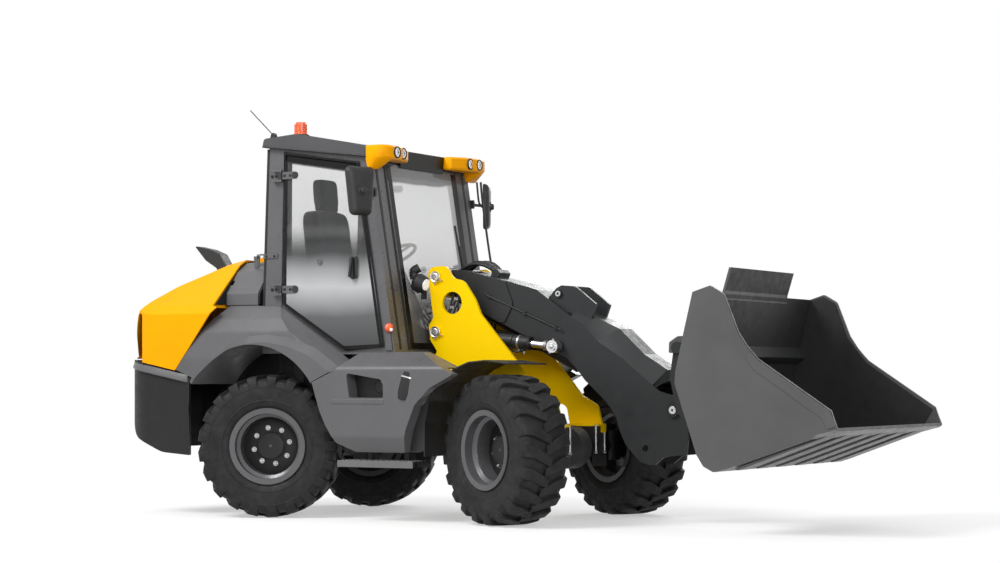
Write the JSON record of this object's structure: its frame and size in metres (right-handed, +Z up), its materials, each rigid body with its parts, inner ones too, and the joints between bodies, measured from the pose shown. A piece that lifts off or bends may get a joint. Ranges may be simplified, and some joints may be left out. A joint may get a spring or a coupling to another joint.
{
  "type": "wheel loader",
  "caption": "Compact wheel loader with steered wheels front and rear, a glazed cab, a single box-section arm and a wide bucket on a quick hitch.",
  "frame": {"origin": "on the ground under the middle of the machine's box", "axes": "+X forward towards the bucket, +Y to the driver's left, +Z up"},
  "size_m": [5.9696, 2.416, 3.1079],
  "materials": {
    "yellow_paint": "gloss",
    "yellow_panel": "gloss",
    "grey_paint": "satin",
    "dark_paint": "satin",
    "grey_panel": "satin",
    "black_steel": "satin",
    "black_plastic": "satin",
    "dark_castings": "satin",
    "clear_glass": "clear",
    "amber_lens": "gloss",
    "seat_cloth": "matte",
    "bare_steel": "brushed",
    "chromed_rod": "polished",
    "wheel_paint": "satin",
    "tyre_rubber": "matte"
  },
  "bodies": {
    "chassis": {"front_frame": "yellow_paint", "rear_frame": "black_steel", "front_axle": "dark_castings", "rear_axle": "dark_castings", "engine_block": "dark_castings", "counterweight": "dark_paint", "cowl": "grey_panel", "rear_fender_left": "grey_panel", "rear_fender_right": "grey_panel", "step_panel_left": "grey_panel", "step_panel_right": "grey_panel", "low_step_left": "black_steel", "low_step_right": "black_steel", "mudguard_left": "black_plastic", "mudguard_right": "black_plastic", "cab_frame": "grey_paint", "windscreen": "clear_glass", "rear_window": "clear_glass", "cab_roof": "grey_panel", "lamp_pod_left": "yellow_panel", "lamp_pod_right": "yellow_panel", "mirror_left": "black_plastic", "mirror_right": "black_plastic", "beacon": "amber_lens", "antenna": "black_plastic", "seat": "seat_cloth", "steering_column": "black_plastic"},
    "door_left": {"door_frame_left": "black_steel", "door_glass_left": "clear_glass", "door_hinges_left": "black_steel", "door_handle_left": "black_plastic"},
    "door_right": {"door_frame_right": "black_steel", "door_glass_right": "clear_glass", "door_hinges_right": "black_steel", "door_handle_right": "black_plastic"},
    "hood": {"engine_hood": "yellow_panel", "exhaust": "black_steel"},
    "arm": {"boom": "dark_paint"},
    "levelling_pin_body": {"levelling_pin": "bare_steel"},
    "attachment": {"hitch": "dark_paint", "bucket": "dark_paint"},
    "lift_barrel_left_body": {"lift_barrel_left": "dark_paint"},
    "lift_barrel_right_body": {"lift_barrel_right": "dark_paint"},
    "lift_rod_left_body": {"lift_rod_left": "chromed_rod"},
    "lift_rod_right_body": {"lift_rod_right": "chromed_rod"},
    "tilt_barrel_body": {"tilt_barrel": "dark_paint"},
    "tilt_rod_body": {"tilt_rod": "chromed_rod"},
    "steer_front_left": {"knuckle_front_left": "dark_castings"},
    "wheel_front_left": {"rim_front_left": "wheel_paint", "tyre_front_left": "tyre_rubber"},
    "steer_front_right": {"knuckle_front_right": "dark_castings"},
    "wheel_front_right": {"rim_front_right": "wheel_paint", "tyre_front_right": "tyre_rubber"},
    "steer_rear_left": {"knuckle_rear_left": "dark_castings"},
    "wheel_rear_left": {"rim_rear_left": "wheel_paint", "tyre_rear_left": "tyre_rubber"},
    "steer_rear_right": {"knuckle_rear_right": "dark_castings"},
    "wheel_rear_right": {"rim_rear_right": "wheel_paint", "tyre_rear_right": "tyre_rubber"}
  },
  "joints": [
    {"name": "steer_front_left", "type": "hinge", "parent": "chassis", "child": "steer_front_left", "pos_m": [0.4525, 0.656, 0.5375], "axis": [0, 0, 1], "range_deg": [-5, 55]},
    {"name": "wheel_front_left", "type": "hinge", "parent": "steer_front_left", "child": "wheel_front_left", "pos_m": [0.4525, 0.656, 0.5375], "axis": [0.4226, 0.9063, 0], "continuous": true},
    {"name": "steer_front_right", "type": "hinge", "parent": "chassis", "child": "steer_front_right", "pos_m": [0.4525, -0.656, 0.5375], "axis": [0, 0, 1], "range_deg": [-5, 55]},
    {"name": "wheel_front_right", "type": "hinge", "parent": "steer_front_right", "child": "wheel_front_right", "pos_m": [0.4525, -0.656, 0.5375], "axis": [0.4226, 0.9063, 0], "continuous": true},
    {"name": "steer_rear_left", "type": "hinge", "parent": "chassis", "child": "steer_rear_left", "pos_m": [-1.7275, 0.656, 0.5375], "axis": [0, 0, 1], "range_deg": [-55, 5]},
    {"name": "wheel_rear_left", "type": "hinge", "parent": "steer_rear_left", "child": "wheel_rear_left", "pos_m": [-1.7275, 0.656, 0.5375], "axis": [-0.4226, 0.9063, 0], "continuous": true},
    {"name": "steer_rear_right", "type": "hinge", "parent": "chassis", "child": "steer_rear_right", "pos_m": [-1.7275, -0.656, 0.5375], "axis": [0, 0, 1], "range_deg": [-55, 5]},
    {"name": "wheel_rear_right", "type": "hinge", "parent": "steer_rear_right", "child": "wheel_rear_right", "pos_m": [-1.7275, -0.656, 0.5375], "axis": [-0.4226, 0.9063, 0], "continuous": true},
    {"name": "door_left", "type": "hinge", "parent": "chassis", "child": "door_left", "pos_m": [-1.6225, 0.745, 2.15], "axis": [0, 0, 1], "range_deg": [0, 120]},
    {"name": "door_right", "type": "hinge", "parent": "chassis", "child": "door_right", "pos_m": [-1.6225, -0.745, 2.15], "axis": [0, 0, -1], "range_deg": [0, 120]},
    {"name": "hood", "type": "hinge", "parent": "chassis", "child": "hood", "pos_m": [-1.9275, 0, 1.99], "axis": [0, 1, 0], "range_deg": [0, 60]},
    {"name": "lift", "type": "hinge", "parent": "chassis", "child": "arm", "pos_m": [-0.4945, 0, 1.807], "axis": [0, -1, 0], "range_deg": [-12, 70]},
    {"name": "levelling", "type": "hinge", "parent": "arm", "child": "levelling_pin_body", "pos_m": [1.3965, 0, 0.82], "axis": [0, -1, 0], "range_deg": [-71, 13]},
    {"name": "tilt", "type": "hinge", "parent": "levelling_pin_body", "child": "attachment", "pos_m": [1.3965, 0, 0.82], "axis": [0, 1, 0], "range_deg": [-26, 62]},
    {"name": "lift_barrel_left", "type": "hinge", "parent": "chassis", "child": "lift_barrel_left_body", "pos_m": [-0.4945, 0.233, 1.394], "axis": [0, -1, 0], "range_deg": [-14, 64]},
    {"name": "lift_rod_left", "type": "slide", "parent": "lift_barrel_left_body", "child": "lift_rod_left_body", "axis": [0.993, 0, -0.1183], "range_m": [-0.085, 0.46]},
    {"name": "lift_barrel_right", "type": "hinge", "parent": "chassis", "child": "lift_barrel_right_body", "pos_m": [-0.4945, -0.233, 1.394], "axis": [0, -1, 0], "range_deg": [-14, 64]},
    {"name": "lift_rod_right", "type": "slide", "parent": "lift_barrel_right_body", "child": "lift_rod_right_body", "axis": [0.993, 0, -0.1183], "range_m": [-0.085, 0.46]},
    {"name": "tilt_barrel", "type": "hinge", "parent": "chassis", "child": "tilt_barrel_body", "pos_m": [-0.5155, 0, 1.684], "axis": [0, -1, 0], "range_deg": [-13, 71]},
    {"name": "tilt_rod", "type": "slide", "parent": "tilt_barrel_body", "child": "tilt_rod_body", "axis": [0.8865, 0, -0.4627], "range_m": [-0.13, 0.06]}
  ],
  "couplings": [
    {"joint": "steer_front_left", "follows": "steer_front_right", "ratio": 1},
    {"joint": "steer_rear_left", "follows": "steer_rear_right", "ratio": 1},
    {"joint": "lift_barrel_left", "follows": "lift", "ratio": 0.89},
    {"joint": "lift_rod_left", "follows": "lift", "m_per_rad": 0.37},
    {"joint": "lift_barrel_right", "follows": "lift", "ratio": 0.89},
    {"joint": "lift_rod_right", "follows": "lift", "m_per_rad": 0.37},
    {"joint": "levelling", "follows": "lift", "ratio": -1},
    {"joint": "tilt_barrel", "follows": "lift", "ratio": 1},
    {"joint": "tilt_rod", "follows": "tilt", "m_per_rad": -0.113}
  ]
}
